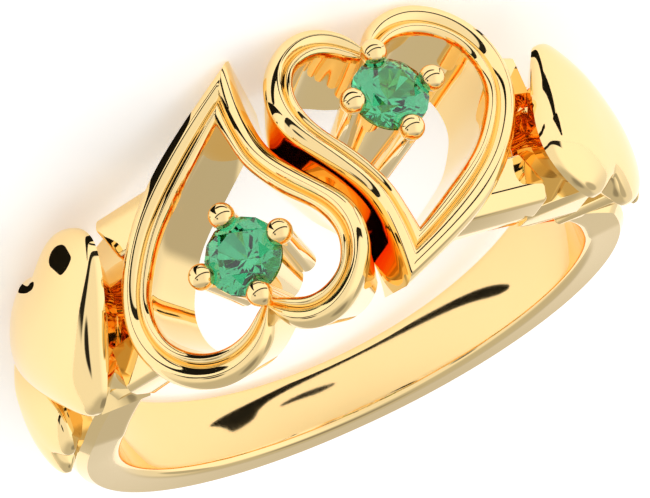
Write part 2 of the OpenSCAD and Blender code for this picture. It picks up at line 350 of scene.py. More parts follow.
def one_eighth(grow):
    """Facets of one eighth of the cut, measured from the middle of the prongs' ball tips."""
    r = STONE_D / 2 + grow
    belt = GIRDLE_SHARE * r / 2 + grow / 2

    def at(eighths, share, height):
        a = math.radians(45 * eighths)
        return (share * r * math.cos(a), share * r * math.sin(a), GIRDLE_HEIGHT + height)

    low = -belt - PAVILION_SHARE * r * (1 - LOWER_SHARE * math.cos(math.pi / 8))
    points = [
        at(0, 0, belt + CROWN_SHARE * r),
        at(0, TABLE_SHARE, belt + CROWN_SHARE * r),
        at(1, TABLE_SHARE, belt + CROWN_SHARE * r),
        at(-0.5, STAR_SHARE, belt + STAR_HEIGHT_SHARE * r),
        at(0.5, STAR_SHARE, belt + STAR_HEIGHT_SHARE * r),
        at(0, 1, belt),
        at(0.5, 1, belt),
        at(1, 1, belt),
        at(0, 1, -belt),
        at(0.5, 1, -belt),
        at(1, 1, -belt),
        at(-0.5, LOWER_SHARE, low),
        at(0.5, LOWER_SHARE, low),
        at(0, 0, -belt - PAVILION_SHARE * r),
    ]
    faces = [
        (0, 1, 2), (1, 4, 2), (1, 3, 5, 4), (4, 5, 6), (4, 6, 7),
        (5, 8, 9, 6), (6, 9, 10, 7), (8, 12, 9), (9, 12, 10), (13, 12, 8, 11),
    ]
    return points, faces


def new_tree(name, inputs, takes_mesh=False):
    """An empty geometry tree with named inputs, and a way to add and link its nodes."""
    tree = bpy.data.node_groups.new(name, "GeometryNodeTree")
    face = tree.interface
    if takes_mesh:
        face.new_socket("Geometry", in_out="INPUT", socket_type="NodeSocketGeometry")
    for label, value in inputs:
        if value is None:
            kind = "NodeSocketMaterial"
        else:
            kind = "NodeSocketInt" if isinstance(value, int) else "NodeSocketFloat"
        socket = face.new_socket(label, in_out="INPUT", socket_type=kind)
        if value is not None:
            socket.default_value = value
    face.new_socket("Geometry", in_out="OUTPUT", socket_type="NodeSocketGeometry")
    given, out = tree.nodes.new("NodeGroupInput"), tree.nodes.new("NodeGroupOutput")

    def node(kind, values=None, **settings):
        made = tree.nodes.new(kind)
        for key, value in settings.items():
            setattr(made, key, value)
        for key, value in (values or {}).items():
            if isinstance(value, bpy.types.NodeSocket):
                tree.links.new(value, made.inputs[key])
            else:
                made.inputs[key].default_value = value
        return made

    def math_node(operation, a, b=0.0, c=0.0):
        return node("ShaderNodeMath", {0: a, 1: b, 2: c}, operation=operation).outputs[0]

    return tree, given.outputs, out.inputs, node, math_node


def turned_copies(node, math_node, mesh, count):
    """The mesh repeated that many times round the Z axis."""
    points = node("GeometryNodePoints", {"Count": count}).outputs[0]
    index = node("GeometryNodeInputIndex").outputs[0]
    angle = math_node("DIVIDE", math_node("MULTIPLY", index, 2 * math.pi), count)
    euler = node("ShaderNodeCombineXYZ", {"Z": angle}).outputs[0]
    spin = node("FunctionNodeEulerToRotation", {"Euler": euler}).outputs[0]
    values = {"Points": points, "Instance": mesh, "Rotation": spin}
    return node("GeometryNodeInstanceOnPoints", values).outputs[0]


def facet_tree():
    """Repeats one eighth of a cut stone round its axis and welds the eighths together."""
    inputs = (("Repeats", 8), ("Material", None))
    tree, given, out, node, math_node = new_tree("facets_round_a_stone", inputs, True)
    copies = turned_copies(node, math_node, given["Geometry"], given["Repeats"])
    real = node("GeometryNodeRealizeInstances", {"Geometry": copies}).outputs[0]
    welded = node("GeometryNodeMergeByDistance", {"Geometry": real, "Distance": WELD}).outputs[0]
    dressed = node("GeometryNodeSetMaterial", {"Geometry": welded, "Material": given["Material"]})
    tree.links.new(dressed.outputs[0], out["Geometry"])
    return tree


def grown(name, tree, values, mesh=None):
    """The plain mesh that a geometry tree makes with these values."""
    maker = bpy.data.objects.new(name, mesh or bpy.data.meshes.new(name + "_start"))
    bpy.context.scene.collection.objects.link(maker)
    modifier = maker.modifiers.new(name, "NODES")
    modifier.node_group = tree
    for item in tree.interface.items_tree:
        if item.item_type == "SOCKET" and item.in_out == "INPUT" and item.name in values:
            modifier[item.identifier] = values[item.name]
    maker.update_tag()
    graph = bpy.context.evaluated_depsgraph_get()
    made = bpy.data.meshes.new_from_object(maker.evaluated_get(graph))
    made.name = name
    maker.modifiers.clear()
    maker.data = made
    return maker


def green_stone():
    """Clear green gem with slightly uneven colour."""
    material = bpy.data.materials.new("green_gem")
    material.use_nodes = True
    tree = material.node_tree
    shader = tree.nodes["Principled BSDF"]
    shader.inputs["Roughness"].default_value = 0.0
    shader.inputs["IOR"].default_value = GEM_IOR
    shader.inputs["Transmission Weight"].default_value = 1.0
    where = tree.nodes.new("ShaderNodeTexCoord")
    cloud = tree.nodes.new("ShaderNodeTexNoise")
    cloud.inputs["Scale"].default_value = GEM_CLOUD_SCALE
    cloud.inputs["Detail"].default_value = 3
    tree.links.new(where.outputs["Object"], cloud.inputs["Vector"])
    tint = tree.nodes.new("ShaderNodeMix")
    tint.data_type = "RGBA"
    tint.inputs["A"].default_value = GEM_DEEP
    tint.inputs["B"].default_value = GEM_PALE
    tree.links.new(cloud.outputs["Fac"], tint.inputs["Factor"])
    tree.links.new(tint.outputs["Result"], shader.inputs["Base Color"])
    return material


GREEN_GEM = green_stone()
FACETS = facet_tree()


def brilliant(name, turn, grow=0.0):
    """A whole stone in its place, or a cutter for its seat where it is grown by the gap."""
    points, faces = one_eighth(grow)
    eighth = bpy.data.meshes.new(name + "_eighth")
    eighth.from_pydata(points, [], faces)
    stone = grown(name, FACETS, {"Repeats": 8, "Material": GREEN_GEM}, eighth)
    stone.data.transform(turn @ AT_STONE)
    return stone


for side, turn in (("right", Matrix()), ("left", HALF_TURN)):
    stone = brilliant("round_stone_" + side, turn)
    stone.data.transform(AT_REST)
    stone.data.shade_flat()
    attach(stone, "root")
    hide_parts("stone_" + side)

# The two settings, of the same gold: four round prongs with ball tips round a tapered cup,
# soldered between the heart's walls. The seat for the stone is cut into balls and cup.

PRONG_COUNT = 4
PRONG_CIRCLE = 1.45
PRONG_FOOT_CIRCLE = 1.12
BALL_D = 0.88
PRONG_D = 0.74
FOOT_DEPTH = 3.4
CUP_TOP = 0.36
CUP_FOOT_D = 1.9
CUP_WALL = 0.24
STONE_GAP = 0.04
ROUND_STEPS = 40
BALL_RINGS = 24
CUP_STEPS = 120
CUP_WELD = 0.0001
DRILL_STEPS = 360
DRILL_REACH = 7


def setting_tree():
    """Ball-tipped prongs repeated round a tapered cup."""
    inputs = (
        ("Prongs", 4), ("Prong Circle", 1.0), ("Foot Circle", 1.0), ("Foot Depth", 1.0),
        ("Ball Diameter", 1.0), ("Prong Diameter", 1.0), ("Cup Top", 0.1), ("Cup Diameter", 1.0),
        ("Cup Foot Diameter", 1.0), ("Cup Wall", 0.1), ("Material", None),
    )
    tree, given, out, node, math_node = new_tree("prongs_round_a_cup", inputs)

    def half(value):
        return math_node("MULTIPLY", value, 0.5)

    def vector(x=0.0, y=0.0, z=0.0):
        return node("ShaderNodeCombineXYZ", {"X": x, "Y": y, "Z": z}).outputs[0]

    down = math_node("MULTIPLY", given["Foot Depth"], -1.0)
    tip = vector(given["Prong Circle"])
    ball = node("GeometryNodeMeshUVSphere",
                {"Segments": ROUND_STEPS, "Rings": BALL_RINGS,
                 "Radius": half(given["Ball Diameter"])}).outputs[0]
    ball = node("GeometryNodeTransform", {"Geometry": ball, "Translation": tip}).outputs[0]
    line = node("GeometryNodeCurvePrimitiveLine",
                {"Start": tip, "End": vector(given["Foot Circle"], z=down)}).outputs[0]
    round_wire = node("GeometryNodeCurvePrimitiveCircle",
                      {"Resolution": ROUND_STEPS,
                       "Radius": half(given["Prong Diameter"])}).outputs[0]
    rod = node("GeometryNodeCurveToMesh",
               {"Curve": line, "Profile Curve": round_wire, "Fill Caps": True}).outputs[0]
    prong = node("GeometryNodeJoinGeometry").inputs[0]
    tree.links.new(ball, prong)
    tree.links.new(rod, prong)
    prongs = turned_copies(node, math_node, prong.node.outputs[0], given["Prongs"])

    # The cup is a grid: places round it by its four corners and the first again, closed on
    # itself and welded.
    corners = 5
    grid = node("GeometryNodeMeshGrid",
                {"Vertices X": CUP_STEPS + 1, "Vertices Y": corners}).outputs[0]
    index = node("GeometryNodeInputIndex").outputs[0]
    corner = math_node("MODULO", index, corners)
    step = math_node("FLOOR", math_node("DIVIDE", math_node("ADD", index, 0.5), corners))
    angle = math_node("MULTIPLY", step, 2 * math.pi / CUP_STEPS)
    top_r = half(given["Cup Diameter"])
    foot_r = half(given["Cup Foot Diameter"])
    top_inner = math_node("SUBTRACT", top_r, given["Cup Wall"])
    foot_inner = math_node("SUBTRACT", foot_r, given["Cup Wall"])
    top_z = math_node("MULTIPLY", given["Cup Top"], -1.0)

    def by_corner(values):
        switch = node("GeometryNodeIndexSwitch", data_type="FLOAT")
        while len(switch.index_switch_items) < corners:
            switch.index_switch_items.new()
        tree.links.new(corner, switch.inputs["Index"])
        for k, value in enumerate(values):
            tree.links.new(value, switch.inputs[str(k)])
        return switch.outputs[0]

    radius = by_corner((foot_r, top_r, top_inner, foot_inner, foot_r))
    height = by_corner((down, top_z, top_z, down, down))
    place = vector(math_node("MULTIPLY", radius, math_node("COSINE", angle)),
                   math_node("MULTIPLY", radius, math_node("SINE", angle)), height)
    cup = node("GeometryNodeSetPosition", {"Geometry": grid, "Position": place}).outputs[0]
    cup = node("GeometryNodeMergeByDistance", {"Geometry": cup, "Distance": CUP_WELD}).outputs[0]
    whole = node("GeometryNodeJoinGeometry").inputs[0]
    tree.links.new(prongs, whole)
    tree.links.new(cup, whole)
    real = node("GeometryNodeRealizeInstances", {"Geometry": whole.node.outputs[0]}).outputs[0]
    dressed = node("GeometryNodeSetMaterial", {"Geometry": real, "Material": given["Material"]})
    tree.links.new(dressed.outputs[0], out["Geometry"])
    return tree


def cut_away(piece, *cutters):
    """Takes the cutters' room out of a piece."""
    for cutter in cutters:
        modifier = piece.modifiers.new("cut", "BOOLEAN")
        modifier.operation = "DIFFERENCE"
        modifier.solver = "EXACT"
        modifier.use_self = True
        modifier.object = cutter
    graph = bpy.context.evaluated_depsgraph_get()
    cut = bpy.data.meshes.new_from_object(piece.evaluated_get(graph))
    piece.modifiers.clear()
    piece.data = cut


def drill():
    """Cutter for the finger hole."""
    steps = DRILL_STEPS
    ends = [
        [(WALL_END_R * math.cos(a), y, WALL_END_R * math.sin(a))
         for a in np.linspace(0, 2 * math.pi, steps, endpoint=False)]
        for y in (-DRILL_REACH, DRILL_REACH)
    ]
    sides = [(k, (k + 1) % steps, steps + (k + 1) % steps, steps + k) for k in range(steps)]
    caps = [tuple(range(steps)), tuple(range(2 * steps - 1, steps - 1, -1))]
    return new_piece("finger_hole_cutter", ends[0] + ends[1], sides + caps, Matrix())


SETTING = setting_tree()
finger_cutter = drill()
for side, turn in (("right", Matrix()), ("left", HALF_TURN)):
    setting = grown("setting_" + side, SETTING, {
        "Prongs": PRONG_COUNT, "Prong Circle": PRONG_CIRCLE, "Foot Circle": PRONG_FOOT_CIRCLE,
        "Foot Depth": FOOT_DEPTH, "Ball Diameter": BALL_D, "Prong Diameter": PRONG_D,
        "Cup Top": CUP_TOP, "Cup Diameter": STONE_D, "Cup Foot Diameter": CUP_FOOT_D,
        "Cup Wall": CUP_WALL, "Material": HEAD_GOLD,
    })
    setting.data.transform(turn @ AT_STONE)
    face_outwards(setting.data)
    seat = brilliant("seat_cutter", turn, STONE_GAP)
    cut_away(setting, seat, finger_cutter)
    bpy.data.objects.remove(seat)
    gold_piece(setting, HEAD_GOLD)

# The puffed hearts: a large and a small one on each shoulder, domed and plain, cast with the
# ring. The large one's tip points away from the finger's front on the right, the small one's
# the other way. Their edges are rounded and their undersides draw in to a stem in the shank.

# Half an outline from cleft to tip, in shares of half the width and half the length.
PUFFED = [
    (0.00, 0.80), (0.13, 0.93), (0.36, 1.00), (0.64, 0.93), (0.87, 0.75), (0.985, 0.53),
    (0.97, 0.32), (0.85, 0.04), (0.66, -0.25), (0.47, -0.50), (0.28, -0.74), (0.12, -0.88),
    (0.00, -0.92),
]
# Turn round the finger, height of the rim over the finger's middle, width, length, dome, side
# that the tip points to, shift along the finger, and how far it leans outwards, tips along the
# finger and is turned about its own middle.
PUFFED_HEARTS = {
    "large_puffed_heart": (53.6, 11.14, 7.1, 6.1, 1.15, 1, 0.0, 8.2, 4.8, 2.8),
    "small_puffed_heart": (78.0, 10.65, 3.3, 4.5, 0.80, -1, 0.1, 0, 0, 5),
}
WALL_SHARE = 0.68
PUFFED_FOOT = 2.6
FOOT_SLOPE = 0.5
STEM_SHARE = 0.4
OUTLINE_STEPS = 64
DOME_ROWS = 30
FOOT_ROWS = 13
# How square the dome's edge is, how fast its wall rises there, and how soon the outline's
# cleft and point soften above it.
DOME_SQUARENESS = 0.62
WALL_RISE = 0.6
SOFTEN_POWER = 8
SOFTEN_SHARE = 11


def puffed_heart(width, length, dome, tip_side):
    """Points and faces of one heart, from the foot of its stem up to the middle of its dome."""
    half = smooth_through(PUFFED, OUTLINE_STEPS)
    left = half[-2:0:-1] * (-1, 1)
    outline = np.concatenate([half, left]) * (width / 2, -tip_side * length / 2)
    # Over the edge the outline soon loses its cleft and its point.
    m = len(outline)
    reach = np.arange(-m // 5, m // 5 + 1)
    weight = np.exp(-((reach / (m / SOFTEN_SHARE)) ** 2))
    spread = np.array([outline[(k + reach) % m] for k in range(m)])
    soft = (spread * weight[None, :, None]).sum(1) / weight.sum()
    rows = []
    for k in range(FOOT_ROWS, 0, -1):
        depth = PUFFED_FOOT * k / FOOT_ROWS
        size = max(STEM_SHARE, 1 - FOOT_SLOPE * depth)
        rows.append(np.column_stack([outline * size, np.full(m, -depth)]))
    for a in np.linspace(0, math.pi / 2, DOME_ROWS + 1)[:-1]:
        size = math.cos(a) ** DOME_SQUARENESS
        height = WALL_SHARE * math.sin(a) ** WALL_RISE + (1 - WALL_SHARE) * (1 - size**2)
        sharp = size**SOFTEN_POWER
        ring = size * (sharp * outline + (1 - sharp) * soft)
        rows.append(np.column_stack([ring, np.full(m, height * dome)]))
    n = len(rows)
    points = np.concatenate(rows + [np.array([[0, 0, -PUFFED_FOOT], [0, 0, dome]])])
    faces = [
        (i * m + j, (i + 1) * m + j, (i + 1) * m + (j + 1) % m, i * m + (j + 1) % m)
        for i in range(n - 1) for j in range(m)
    ]
    faces += [(n * m, (j + 1) % m, j) for j in range(m)]
    faces += [(n * m + 1, (n - 1) * m + j, (n - 1) * m + (j + 1) % m) for j in range(m)]
    return points, faces


SHOULDER_GOLD = polished_gold("shoulder_gold", haze=0.06, lines=0.02, grain=700.0)
for name, row in PUFFED_HEARTS.items():
    around, rim, width, length, dome, tip_side, shift, lean, pitch, roll = row
    points, faces = puffed_heart(width, length, dome, tip_side)
    place = (
        Matrix.Rotation(math.radians(around), 4, "Y") @ Matrix.Translation((0, 0, rim))
        @ Matrix.Rotation(math.radians(lean), 4, "Y") @ Matrix.Rotation(math.radians(pitch), 4, "X")
        @ Matrix.Rotation(math.radians(roll), 4, "Z") @ Matrix.Translation((0, shift, 0))
    )
    for side, turn in (("right", Matrix()), ("left", HALF_TURN)):
        heart = new_piece(name + "_" + side, points, faces, turn @ place)
        cut_away(heart, finger_cutter)
        gold_piece(heart, SHOULDER_GOLD, 50)

# The stepped blocks and smooth cheeks that join each open heart to the shank, cast with the
# ring. Three blocks with a chamfered side step down one side, and one cheek lies on the other.
# Their edges are softened by polishing, the first block's most of all.

# Two end sections of each in the open heart's own frame: distance from its middle, distance
# from the middle of the shoulder and height for the top, the chamfer's two edges, the belly of
# the side, its foot and the foot's inner end.
BLOCKS = {
    "step_1": (-1, 0.14, (
        ((-0.5, 1.15, 10.57), (-0.5, 2.36, 10.57), (-0.5, 2.84, 10.2), (-0.5, 2.82, 9.2),
         (-0.5, 2.72, 8.5), (-0.5, 1.15, 8.3)),
        ((2.83, 1.15, 10.57), (3.2, 2.40, 10.57), (3.2, 2.84, 10.15), (3.2, 2.80, 9.0),
         (3.2, 2.44, 7.85), (3.2, 1.15, 7.8)))),
    "step_2": (-1, 0.03, (
        ((2.8, 0.70, 10.15), (2.8, 2.72, 9.40), (2.8, 2.88, 9.05), (2.8, 2.80, 8.5),
         (2.8, 2.50, 7.9), (2.8, 0.70, 7.9)),
        ((6.10, 0.70, 9.00), (6.10, 2.02, 8.35), (6.05, 2.20, 8.15), (5.80, 2.30, 7.3),
         (5.30, 2.20, 6.6), (5.30, 0.70, 6.6)))),
    "step_3": (-1, 0.03, (
        ((5.0, 0.70, 7.90), (5.0, 2.30, 7.23), (5.0, 2.45, 6.95), (5.0, 2.35, 6.7),
         (5.0, 2.20, 6.5), (5.0, 0.70, 6.5)),
        ((8.40, 0.70, 7.05), (8.40, 1.66, 6.74), (8.42, 1.91, 6.50), (8.3, 1.90, 6.1),
         (8.2, 1.85, 5.8), (8.2, 0.70, 5.8)))),
    "cheek": (1, 0.03, (
        ((1.5, 1.15, 10.57), (1.5, 2.80, 10.57), (1.5, 2.98, 10.42), (1.5, 2.9, 9.6),
         (1.5, 2.6, 8.3), (1.5, 1.15, 8.3)),
        ((4.6, 1.15, 9.9), (4.72, 2.50, 9.85), (4.74, 2.66, 9.68), (4.8, 2.6, 9.0),
         (4.8, 2.2, 7.2), (4.8, 1.15, 7.2)))),
}
WINDOW_PLACE = 0.96
WINDOW_HEIGHTS = (5, 13)
EDGE_STEPS = 6
EDGE_OVER = math.radians(12)
SEAM = 0.003


def block(ends, side):
    """A block between its two end sections."""
    n = len(ends[0])
    points = [(x, side * y, z) for end in ends for x, y, z in end]
    faces = [tuple(range(n)), tuple(range(2 * n - 1, n - 1, -1))]
    faces += [(j, (j + 1) % n, n + (j + 1) % n, n + j) for j in range(n)]
    return points, faces


def window_cutter(turn):
    """Cutter for the room inside one open heart, which stays within the heart's walls."""
    s = heart_stations()
    edge = s[:, :2] + WINDOW_PLACE * (s[:, 2:4] - s[:, :2])
    edge = (edge + np.roll(edge, -1, axis=0)) / 2
    n = len(edge)
    points = [(x, y, z) for z in WINDOW_HEIGHTS for x, y in edge]
    faces = [tuple(range(n - 1, -1, -1)), tuple(range(n, 2 * n))]
    faces += [(k, (k + 1) % n, n + (k + 1) % n, n + k) for k in range(n)]
    return new_piece("window_cutter", points, faces, turn @ IN_HEART)


# A hollow web sweeps from the end of each cheek down to the shank's side: for each place along
# it the edge on the shank, the edge by the cheek and a point inside the ring.
WEB = [
    ((6.45, 2.22, 8.10), (5.45, 0.85, 9.35), (5.9, 0.6, 7.9)),
    ((6.05, 2.26, 8.02), (5.15, 1.45, 9.10), (5.6, 0.6, 7.7)),
    ((5.65, 2.28, 7.86), (4.98, 1.95, 9.00), (5.2, 0.8, 7.5)),
    ((5.30, 2.24, 7.55), (4.86, 2.30, 8.60), (4.8, 1.0, 7.4)),
    ((4.95, 2.18, 7.15), (4.72, 2.36, 7.95), (4.5, 1.2, 7.3)),
]
WEB_HOLLOW = 0.13
WEB_STEPS = 20
WEB_ROWS = 9


def web():
    """Points and faces of one web, hollowed between its two edges."""
    rows = [smooth_through([row[k] for row in WEB], WEB_STEPS) for k in range(3)]
    shank_edge, cheek_edge, inside = rows
    sections = []
    for t in np.linspace(0, 1, WEB_ROWS):
        bow = 4 * t * (1 - t) * WEB_HOLLOW
        across = shank_edge + t * (cheek_edge - shank_edge)
        inwards = inside - across
        sections.append(across + bow * inwards / np.linalg.norm(inwards, axis=1)[:, None])
    sections.append(inside)
    loops = np.stack(sections, 1)
    n, m = loops.shape[:2]
    faces = [
        (i * m + j, i * m + (j + 1) % m, (i + 1) * m + (j + 1) % m, (i + 1) * m + j)
        for i in range(n - 1) for j in range(m)
    ]
    faces += [tuple(range(m)), tuple(range(n * m - 1, (n - 1) * m - 1, -1))]
    return loops.reshape(-1, 3), faces


def weld_seams(piece):
    """Joins the hairline gaps that the cutters leave where they cross a rounded edge."""
    form = bmesh.new()
    form.from_mesh(piece.data)
    bmesh.ops.remove_doubles(form, verts=form.verts, dist=SEAM)
    bmesh.ops.dissolve_degenerate(form, edges=form.edges, dist=SEAM)
    form.to_mesh(piece.data)
    form.free()


window_cutters = [window_cutter(Matrix()), window_cutter(HALF_TURN)]
web_points, web_faces = web()
for side, turn in (("right", Matrix()), ("left", HALF_TURN)):
    for name, (to_side, softness, ends) in BLOCKS.items():
        points, faces = block(ends, to_side)
        piece = new_piece(name + "_" + side, points, faces, turn @ IN_HEART)
        soften = piece.modifiers.new("soften", "BEVEL")
        soften.width = softness
        soften.segments = EDGE_STEPS
        soften.limit_method = "ANGLE"
        soften.angle_limit = EDGE_OVER
        cut_away(piece, finger_cutter, window_cutters[0 if side == "right" else 1])
        weld_seams(piece)
        gold_piece(piece, SHOULDER_GOLD, 20)
    piece = new_piece("web_" + side, web_points, web_faces, turn @ IN_HEART)
    cut_away(piece, finger_cutter)
    gold_piece(piece, SHOULDER_GOLD, 40)

# The shank: the band round the finger, of the same gold. It has a flat inside face with
# rounded edges, flat sides, a chamfer and a domed back, is slim at the back, widens to both
# shoulders and ends under the open hearts. It is narrower beside the stepped blocks.

SHANK_THICK = 1.7
SHOULDER_GAIN = 0.2
SHANK_HALF = 1.0
EDGE_ROUND = 0.26
SHANK_CHAMFER = 0.27
SHANK_DOME = 0.35
SHANK_END = math.radians(152)
SHANK_STATIONS = 260
SHANK_ROUND = 100
EDGE_RISE = 0.3
# How the band widens with the square of the turn from its back, and eases with the square of
# that. Its shoulder gains thickness up to a quarter turn.
WIDENS, EASES = 0.372, 0.0224
QUARTER = 1.57
# Under the open hearts, on the smooth side and on the stepped side: the turn where the band
# starts to draw in, over what turn and by how much, and where and over what turn it thins.
DRAWS_FROM, DRAWS_OVER, DRAWS_BY = (1.85, 1.70), (0.3, 0.5), (0.42, 0.28)
THINS_FROM, THINS_OVER = (2.15, 1.84), (0.15, 0.26)
THINS_BY = 0.84
# The stretches of the section from the inside face to the crown: start and length of each.
INSIDE, EDGE, SIDE = (0.0, 0.2), (0.2, 0.2), (0.4, 0.2)
CHAMFER, DOME = (0.6, 0.08), (0.68, 0.32)


def shank_tree():
    """A band bent round the finger, whose width and thickness follow the turn from its back."""
    inputs = (
        ("Hole Radius", 1.0), ("Thickness", 1.0), ("Shoulder Gain", 0.1), ("Flat Half Width", 1.0),
        ("Rounded Edge", 0.1), ("Chamfer", 0.1), ("Dome", 0.1), ("End Turn", 1.0), ("Stations", 8),
        ("Points Round", 8), ("Material", None),
    )
    tree, given, out, node, m = new_tree("shank_round_the_finger", inputs)
    grid = node("GeometryNodeMeshGrid",
                {"Vertices X": given["Stations"], "Vertices Y": given["Points Round"]}).outputs[0]
    index = node("GeometryNodeInputIndex").outputs[0]
    count = given["Points Round"]
    step = m("FLOOR", m("DIVIDE", m("ADD", index, 0.5), count))
    share = m("DIVIDE", m("MODULO", index, count), m("SUBTRACT", count, 1.0))
    last = m("SUBTRACT", given["Stations"], 1.0)
    # The first and the last station close to a point, so each end is capped.
    body = m("SUBTRACT", last, 2.0)
    inner_step = m("MINIMUM", m("MAXIMUM", m("SUBTRACT", step, 1.0), 0.0), body)
    turn = m("MULTIPLY", m("SUBTRACT", m("MULTIPLY", m("DIVIDE", inner_step, body), 2.0), 1.0),
             given["End Turn"])
    open_here = m("MULTIPLY", m("GREATER_THAN", step, 0.5),
                  m("LESS_THAN", step, m("SUBTRACT", last, 0.5)))
    t = m("ABSOLUTE", turn)
    t2 = m("MULTIPLY", t, t)
    # Across the section: -1 at the front, +1 behind, and s from 0 inside to 1 on the crown.
    face = m("SIGN", m("SUBTRACT", share, 0.5))
    s = m("SUBTRACT", 1.0, m("ABSOLUTE", m("SUBTRACT", m("MULTIPLY", share, 2.0), 1.0)))
    # The stepped side is in front on the right half and behind on the left half.
    stepped = m("LESS_THAN", m("MULTIPLY", face, turn), 0.0)

    def by_side(sizes):
        smooth, on_steps = sizes
        return m("SUBTRACT", smooth, m("MULTIPLY", stepped, smooth - on_steps))

    def part_way(value, start, length):
        part = m("DIVIDE", m("SUBTRACT", value, start), length)
        return m("MINIMUM", m("MAXIMUM", part, 0.0), 1.0)

    drawn_in = part_way(t, by_side(DRAWS_FROM), by_side(DRAWS_OVER))
    drawn_in = m("MULTIPLY", drawn_in, by_side(DRAWS_BY))
    widened = m("SUBTRACT", m("MULTIPLY", t2, WIDENS), m("MULTIPLY", m("MULTIPLY", t2, t2), EASES))
    flat = m("SUBTRACT", m("ADD", given["Flat Half Width"], widened), drawn_in)
    edge = given["Rounded Edge"]
    crown = m("ADD", given["Thickness"],
              m("MULTIPLY", given["Shoulder Gain"], m("MINIMUM", m("DIVIDE", t, QUARTER), 1.0)))
    # It thins where the steps, the cheek and the web take its place.
    thin = m("MULTIPLY", part_way(t, by_side(THINS_FROM), by_side(THINS_OVER)), THINS_BY)
    thin = m("SUBTRACT", 1.0, thin)
    edge_turn = m("MULTIPLY", part_way(s, *EDGE), math.pi / 2)
    over_chamfer = part_way(s, *CHAMFER)
    dome_left = m("SUBTRACT", 1.0, part_way(s, *DOME))
    side_top = m("SUBTRACT", m("SUBTRACT", crown, given["Chamfer"]), given["Dome"])
    chamfered = m("MULTIPLY", given["Chamfer"], over_chamfer)
    wide = m("MULTIPLY", flat, part_way(s, *INSIDE))
    wide = m("ADD", wide, m("MULTIPLY", edge, m("SINE", edge_turn)))
    half = m("MULTIPLY", m("SUBTRACT", wide, chamfered), dome_left)
    height = m("ADD", m("MULTIPLY", m("SUBTRACT", 1.0, m("COSINE", edge_turn)), EDGE_RISE),
               m("MULTIPLY", m("SUBTRACT", side_top, EDGE_RISE), part_way(s, *SIDE)))
    height = m("ADD", height, chamfered)
    height = m("ADD", height, m("MULTIPLY", given["Dome"],
                                m("SUBTRACT", 1.0, m("MULTIPLY", dome_left, dome_left))))
    across = m("MULTIPLY", m("MULTIPLY", half, face), open_here)
    height = m("MULTIPLY", height, thin)
    middle = m("MULTIPLY", m("MULTIPLY", crown, 0.5), thin)
    closed_here = m("SUBTRACT", 1.0, open_here)
    height = m("ADD", m("MULTIPLY", height, open_here), m("MULTIPLY", middle, closed_here))
    radius = m("ADD", given["Hole Radius"], height)
    place = node("ShaderNodeCombineXYZ", {
        "X": m("MULTIPLY", radius, m("SINE", turn)),
        "Y": across,
        "Z": m("MULTIPLY", m("MULTIPLY", radius, m("COSINE", turn)), -1.0),
    }).outputs[0]
    band = node("GeometryNodeSetPosition", {"Geometry": grid, "Position": place}).outputs[0]
    band = node("GeometryNodeMergeByDistance", {"Geometry": band, "Distance": WELD}).outputs[0]
    real = node("GeometryNodeRealizeInstances", {"Geometry": band}).outputs[0]
    dressed = node("GeometryNodeSetMaterial", {"Geometry": real, "Material": given["Material"]})
    tree.links.new(dressed.outputs[0], out["Geometry"])
    return tree


SHANK_GOLD = polished_gold("shank_gold", haze=0.06, lines=0.03, grain=600.0)
shank = grown("shank", shank_tree(), {
    "Hole Radius": HOLE_R, "Thickness": SHANK_THICK, "Shoulder Gain": SHOULDER_GAIN,
    "Flat Half Width": SHANK_HALF, "Rounded Edge": EDGE_ROUND, "Chamfer": SHANK_CHAMFER,
    "Dome": SHANK_DOME, "End Turn": SHANK_END,
    "Stations": SHANK_STATIONS, "Points Round": SHANK_ROUND + 1, "Material": SHANK_GOLD,
})
face_outwards(shank.data)
cut_away(shank, *window_cutters)
gold_piece(shank, SHANK_GOLD, 18)
for cutter in window_cutters + [finger_cutter]:
    bpy.data.objects.remove(cutter)

# The studio: a plain pale floor of paper under the ring, one soft round light, a pale room
# round it, and the camera at the photo's angle, above the floor.

FLOOR_REACH = 3.0
FLOOR_DROP = 0.00002
FLOOR_GLOW = 0.32
PAPER_DULL = (0.93, 0.93, 0.93, 1)
PAPER_WHITE = (0.95, 0.95, 0.95, 1)
PAPER_SCALE = 40


def floor_finish():
    material = bpy.data.materials.new("pale_floor")
    material.use_nodes = True
    tree = material.node_tree
    shader = tree.nodes["Principled BSDF"]
    shader.inputs["Roughness"].default_value = 0.6
    shader.inputs["Specular IOR Level"].default_value = 0.2
    shader.inputs["Emission Color"].default_value = (1, 1, 1, 1)
    shader.inputs["Emission Strength"].default_value = FLOOR_GLOW
    where = tree.nodes.new("ShaderNodeTexCoord")
    paper = tree.nodes.new("ShaderNodeTexNoise")
    paper.inputs["Scale"].default_value = PAPER_SCALE
    tree.links.new(where.outputs["Object"], paper.inputs["Vector"])
    tone = tree.nodes.new("ShaderNodeMix")
    tone.data_type = "RGBA"
    tone.inputs["A"].default_value = PAPER_DULL
    tone.inputs["B"].default_value = PAPER_WHITE
    tree.links.new(paper.outputs["Fac"], tone.inputs["Factor"])
    tree.links.new(tone.outputs["Result"], shader.inputs["Base Color"])
    return material


floor_corners = [(x * FLOOR_REACH, y * FLOOR_REACH, -FLOOR_DROP)
                 for x, y in ((-1, -1), (1, -1), (1, 1), (-1, 1))]
floor_mesh = bpy.data.meshes.new("floor")
floor_mesh.from_pydata(floor_corners, [], [(0, 1, 2, 3)])
floor_mesh.materials.append(floor_finish())
floor = bpy.data.objects.new("floor", floor_mesh)
bpy.context.scene.collection.objects.link(floor)


# The light hangs over the ring and faces it, and leaves no glint of its own in the polish.
LAMP_PLACE = Vector((-0.12, 0.10, 0.45))
LAMP_ACROSS = 0.3
LAMP_POWER = 0.25
RING_MIDDLE = Vector((0, 0, 0.004))

